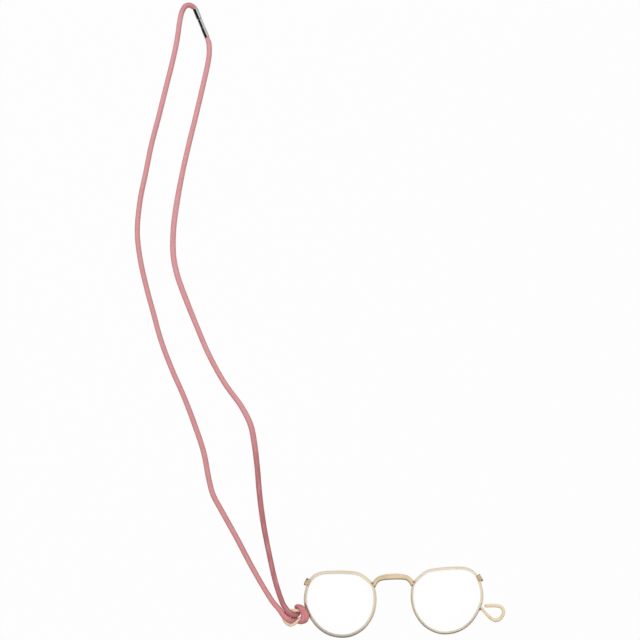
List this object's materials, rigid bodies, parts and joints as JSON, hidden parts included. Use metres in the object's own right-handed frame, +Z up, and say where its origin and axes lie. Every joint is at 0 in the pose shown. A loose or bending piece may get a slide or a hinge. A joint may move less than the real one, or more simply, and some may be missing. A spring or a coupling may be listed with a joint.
{
  "type": "reading glasses on a neck cord",
  "caption": "Reading glasses without temples: crown-panto metal rims, saddle bridge, wire loops and clear lenses, hung on a round neck cord with a push-in clasp.",
  "frame": {"origin": "on the table, midway between the lenses: bottom centre of the glasses' box without the cord", "axes": "+X from the left lens to the right lens as seen from above, +Y to the top of the lenses, +Z up, out of the lens fronts"},
  "size_m": [0.2366, 0.4241, 0.0086],
  "materials": {
    "frame_gold": "polished pale gold plating",
    "block_bronze": "satin, slightly darker gold",
    "lens": "clear and polished",
    "cord": "round pink cord, fine grain, soft sheen",
    "clasp_steel": "polished steel"
  },
  "bodies": {
    "glasses": {"left_rim": "frame_gold", "right_rim": "frame_gold", "bridge": "frame_gold", "left_loop": "frame_gold", "right_loop": "frame_gold", "left_lens": "lens", "right_lens": "lens", "left_block_upper": "block_bronze", "left_block_lower": "block_bronze", "left_block_screw": "block_bronze", "right_block_upper": "block_bronze", "right_block_lower": "block_bronze", "right_block_screw": "block_bronze", "cord_hitch": "cord"},
    "necklace": {"left_strand": "cord", "right_strand": "cord", "clasp_plug": "clasp_steel"},
    "clasp_end": {"clasp_socket": "clasp_steel", "clasp_ring": "clasp_steel", "cord_top": "cord"}
  },
  "joints": [
    {"name": "cord_swing", "type": "hinge", "parent": "glasses", "child": "necklace", "pos_m": [-0.07, -0.004, 0], "axis": [0, 0, 1], "range_deg": [-25, 50]},
    {"name": "clasp_pull", "type": "slide", "parent": "necklace", "child": "clasp_end", "axis": [-0.3523, 0.9359, 0], "range_m": [0, 0.008]}
  ]
}
